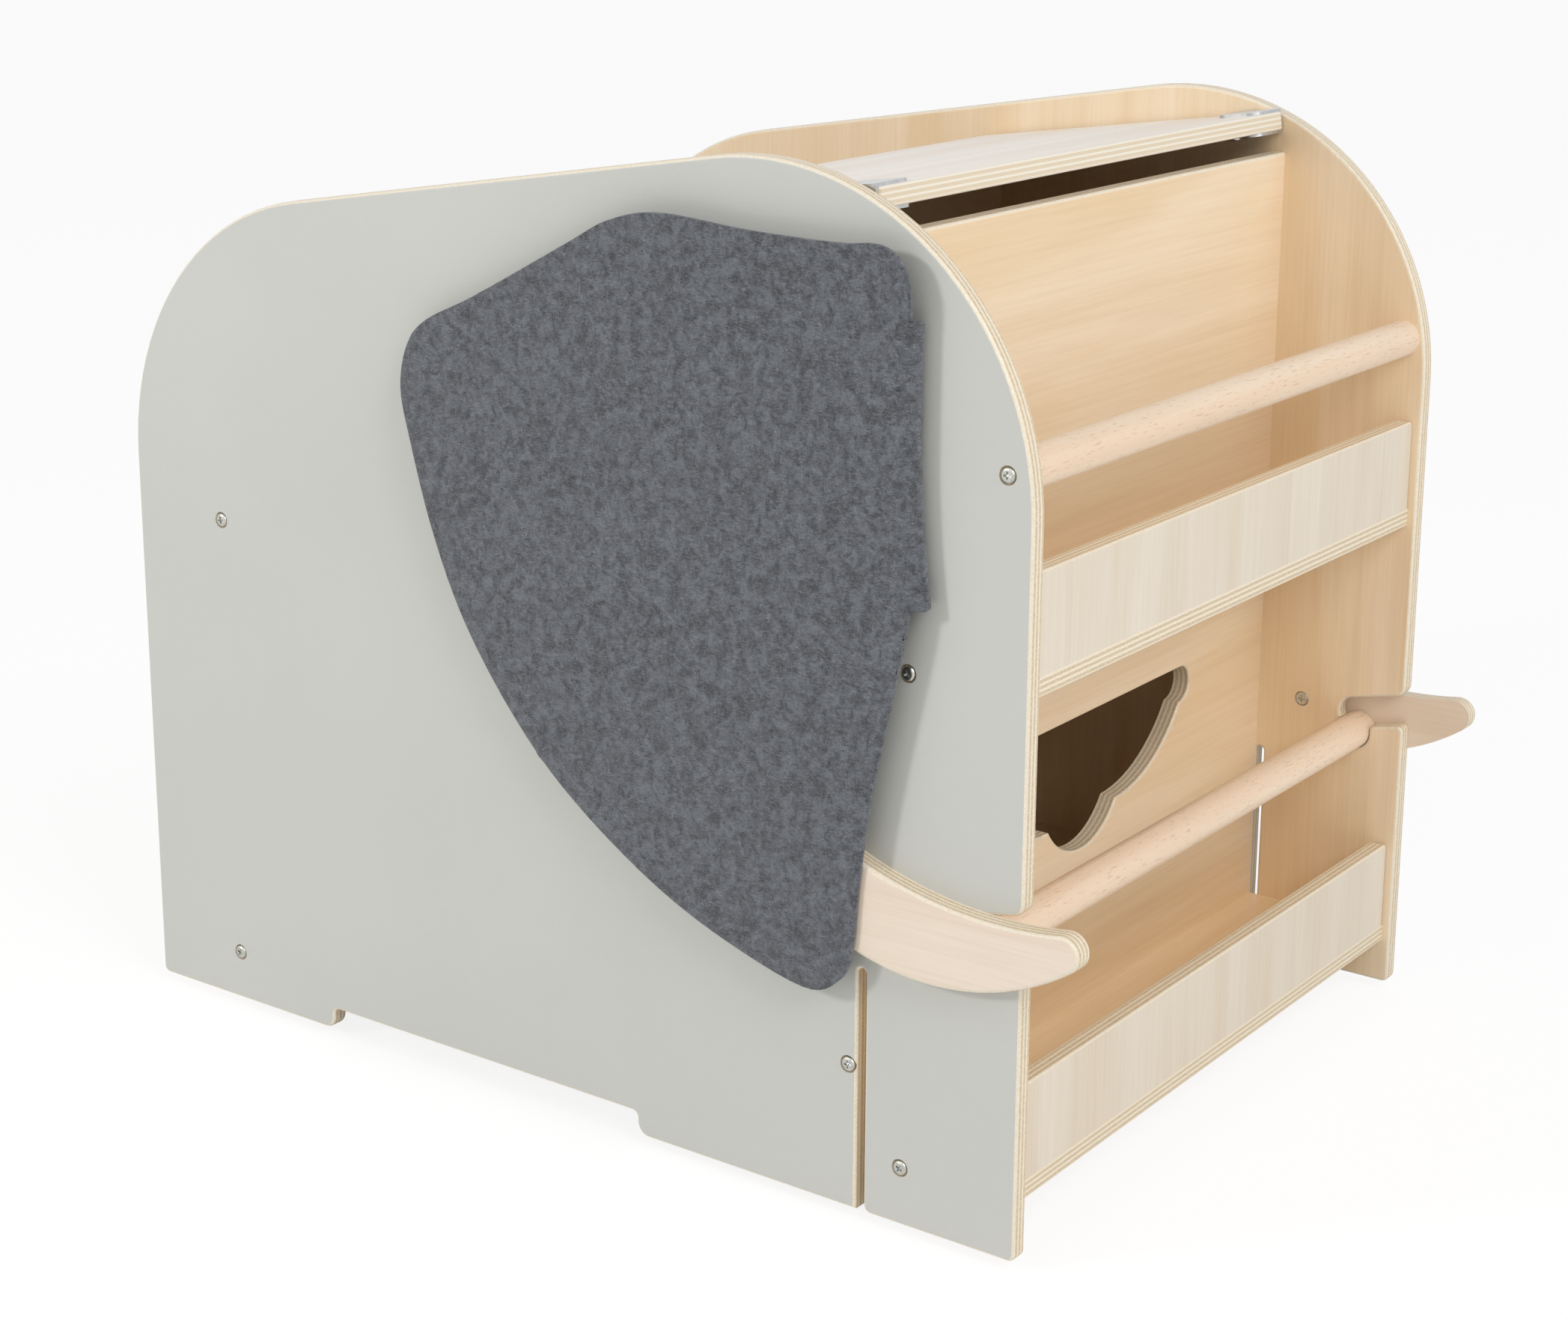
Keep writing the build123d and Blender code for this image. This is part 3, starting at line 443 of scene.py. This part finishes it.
def felt_ear(name, side, joint_name):
    """One ear with its fold and flap, from the flat sheet that it was cut from."""
    joint = Vector(joints[joint_name]["pos_m"])
    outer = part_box(name)[0].x if side < 0 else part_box(name)[1].x
    middle = abs(outer) - FELT / 2
    fold_x = abs(joint.x)
    radius = middle - fold_x
    tab_low, tab_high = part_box(name.replace("ear_", "ear_tab_"))
    around = pi * radius
    tab_end = around + (tab_high.y - joint.y)
    low, high = tab_low.z - PANEL_BOTTOM, tab_high.z - PANEL_BOTTOM

    # The sheet's outline as (distance behind the fold, height)
    line = smooth_line([(y * MM, z * MM) for y, z in EAR_OUTLINE])
    outline = [(point.x - FOLD_DEPTH, point.y) for point in line]
    outline += [(-8.6 * MM, FOLD_HIGH - 1.2 * MM), (-around, FOLD_HIGH - 2 * MM)]
    neck = -around - TAB_NECK
    outline += [(neck, high), (TAB_CORNER - tab_end, high), (-tab_end, high - TAB_CORNER)]
    outline += [(-tab_end, low + TAB_CORNER), (TAB_CORNER - tab_end, low), (neck, low)]
    outline += [(-around, FOLD_LOW + 2 * MM), (-8.4 * MM, FOLD_LOW + 0.5 * MM)]

    mesh = bmesh.new()
    ring = [mesh.verts.new((0.0, s, z)) for s, z in outline]
    mesh.faces.new(ring)
    cuts = [-tab_end + k * TAB_STEP for k in range(1, 9)]
    cuts += [-around + k * around / 18 for k in range(19)]
    cuts += [k * STEP for k in range(1, 37)]
    planes = [((0, s, 0), (0, 1, 0)) for s in cuts]
    levels = [139 * MM + k * STEP for k in range(1, 45)]
    levels += [FOLD_LOW, FOLD_LOW - 0.6 * MM, FOLD_HIGH, FOLD_HIGH + 0.6 * MM]
    planes += [((0, 0, level), (0, 0, 1)) for level in sorted(levels)]
    for point, normal in planes:
        everything = mesh.verts[:] + mesh.edges[:] + mesh.faces[:]
        bmesh.ops.bisect_plane(mesh, geom=everything, plane_co=point, plane_no=normal)
    bmesh.ops.triangulate(mesh, faces=mesh.faces[:])

    # Thickness: the same sheet twice, joined by a slightly crowned rim
    data = bpy.data.meshes.new(f"{name}_felt")
    mesh.verts.ensure_lookup_table()
    flat = [v.co.copy() for v in mesh.verts]
    faces = [[v.index for v in f.verts] for f in mesh.faces]
    border = {}
    for edge in mesh.edges:
        if edge.is_boundary:
            loop = edge.link_loops[0]
            a, b = loop.vert.index, loop.link_loop_next.vert.index
            border[a] = b
    mesh.free()

    inward = {}
    back = {b: a for a, b in border.items()}
    for v, after in border.items():
        before = back[v]
        run = (flat[after] - flat[before]).normalized()
        inward[v] = Vector((0, -run.z, run.y))

    def lay(s, z, out):
        """Where a point of the flat sheet comes to lie, out towards the sheet's outer side."""
        wave = WAVE * sin(z * 21) * ease((s - 0.05) / 0.2)
        flare = FOLD_FLARE * max(0.0, 1 - (z - FOLD_LOW) / FLARE_HEIGHT) ** 1.6
        curled = FOLD_LOW - 0.1 * MM < z < FOLD_HIGH + 0.1 * MM
        if s >= 0 or (not curled and s > -12 * MM):
            x, y = middle + out + wave, FOLD_DEPTH + s
        elif s > -around:
            angle = -s / radius
            reach = radius + out
            x, y = fold_x + reach * cos(angle), FOLD_DEPTH - reach * sin(angle) - flare * sin(angle)
        else:
            x, y = fold_x - radius - out, FOLD_DEPTH - s - around
        return Vector((side * x, PANEL_FRONT + y, PANEL_BOTTOM + z))

    half = FELT / 2
    soft = RIM_SOFTNESS
    verts = []
    layers = []
    for out, inset in ((-half, soft), (-half + soft, 0.0), (half - soft, 0.0), (half, soft)):
        start = len(verts)
        for index, point in enumerate(flat):
            shift = inward.get(index, Vector()) * inset
            verts.append(lay(point.y + shift.y, point.z + shift.z, out))
        layers.append(start)
    polygons = []
    bottom, top = layers[0], layers[-1]
    for face in faces:
        polygons.append([bottom + i for i in face][::-1])
        polygons.append([top + i for i in face])
    for a, b in border.items():
        for one, two in zip(layers, layers[1:]):
            polygons.append([one + a, one + b, two + b, two + a])
    data.from_pydata(verts, [], polygons)
    piece = bpy.data.objects.new(f"{name}_felt", data)
    bpy.context.scene.collection.objects.link(piece)
    tidy = bmesh.new()
    tidy.from_mesh(data)
    loose = [v for v in tidy.verts if not v.link_faces]
    bmesh.ops.delete(tidy, geom=loose, context="VERTS")
    bmesh.ops.recalc_face_normals(tidy, faces=tidy.faces[:])
    tidy.to_mesh(data)
    tidy.free()
    for polygon in data.polygons:
        polygon.use_smooth = True
    data.set_sharp_from_angle(angle=radians(50))
    data.materials.append(felt)
    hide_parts(name, name.replace("ear_", "ear_tab_"))
    panel_x = side * (fold_x - radius + half)
    start = (panel_x, joint.y, joint.z)
    end = (side * (middle - half), joint.y, joint.z)
    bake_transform(piece)
    return piece


felt_ear("ear_left", -1, "ear_left_flap")
felt_ear("ear_right", 1, "ear_right_flap")


# Floor, light and camera
def plane(name, size, centre):
    data = bpy.data.meshes.new(name)
    x, y, z = centre
    h = size / 2
    corners = [(x - h, y - h, z), (x + h, y - h, z), (x + h, y + h, z), (x - h, y + h, z)]
    data.from_pydata(corners, [], [(0, 1, 2, 3)])
    piece = bpy.data.objects.new(name, data)
    bpy.context.scene.collection.objects.link(piece)
    return piece


floor = plane("studio_floor", 30, (0, 0, -0.0004))
paper = Finish("studio_paper", Roughness=0.9)
paper.shader.inputs["Base Color"].default_value = srgb(248, 248, 248)
paper.shader.inputs["Emission Color"].default_value = (1, 1, 1, 1)
seen = paper.add("ShaderNodeLightPath", output="Is Camera Ray")
output = paper.tree.nodes["Material Output"]
glow = paper.add("ShaderNodeEmission", inputs={"Color": (1, 1, 1, 1), "Strength": 1.05})
lit = Socket(paper, paper.shader.outputs[0])
blend = paper.add("ShaderNodeMixShader", inputs={0: seen * 0.82, 1: lit, 2: glow})
paper.tree.links.new(blend.output, output.inputs["Surface"])
floor.data.materials.append(paper.material)

world = bpy.data.worlds.new("studio")
world.use_nodes = True
bpy.context.scene.world = world
tree = world.node_tree
backdrop = tree.nodes["Background"]
path = tree.nodes.new("ShaderNodeLightPath")
either = tree.nodes.new("ShaderNodeMath")
either.operation = "MAXIMUM"
tree.links.new(path.outputs["Is Camera Ray"], either.inputs[0])
tree.links.new(path.outputs["Is Glossy Ray"], either.inputs[1])
brightness = tree.nodes.new("ShaderNodeMapRange")
brightness.inputs["To Min"].default_value = 0.48
brightness.inputs["To Max"].default_value = 1.0
tree.links.new(either.outputs[0], brightness.inputs["Value"])
tree.links.new(brightness.outputs[0], backdrop.inputs["Strength"])
backdrop.inputs["Color"].default_value = (1, 1, 1, 1)


def softbox(name, place, target, size, power):
    lamp = bpy.data.lights.new(name, "AREA")
    lamp.shape = "SQUARE"
    lamp.size = size
    lamp.energy = power
    holder = bpy.data.objects.new(name, lamp)
    holder.location = place
    holder.rotation_euler = (Vector(target) - Vector(place)).to_track_quat("-Z", "Y").to_euler()
    bpy.context.scene.collection.objects.link(holder)


softbox("key_softbox", (-1.1, -2.5, 2.4), (0, 0, 0.3), 1.5, 39)
softbox("side_softbox", (-2.7, 1.5, 1.6), (0, 0, 0.3), 0.45, 29)
softbox("front_fill", (0.7, -2.9, 0.9), (0, 0, 0.3), 1.6, 9)

# The camera that was fitted to the photograph
PHOTO_WIDTH = 2095
FOCAL_PIXELS = 3850
camera = bpy.data.cameras.new("view")
camera.sensor_fit = "HORIZONTAL"
camera.sensor_width = 36
camera.lens = FOCAL_PIXELS * camera.sensor_width / PHOTO_WIDTH
camera.shift_x = 0.0227
camera.shift_y = -0.0726
holder = bpy.data.objects.new("view", camera)
bpy.context.scene.collection.objects.link(holder)
bpy.context.scene.camera = holder
yaw, pitch, roll = radians(-53.44), radians(14.67), radians(0.12)
forward = Vector((-sin(yaw) * cos(pitch), cos(yaw) * cos(pitch), -sin(pitch)))
right = Vector((cos(yaw), sin(yaw), 0))
up = right.cross(forward)
across = right * cos(roll) + up * sin(roll)
above = up * cos(roll) - right * sin(roll)
turn = Matrix((across, above, -forward)).transposed().to_4x4()
eye = Vector((-1.5290, -0.7570, 0.8057)) + Vector((0, PANEL_FRONT, PANEL_BOTTOM))
holder.matrix_world = Matrix.Translation(eye) @ turn

bpy.context.scene.view_settings.view_transform = "Standard"
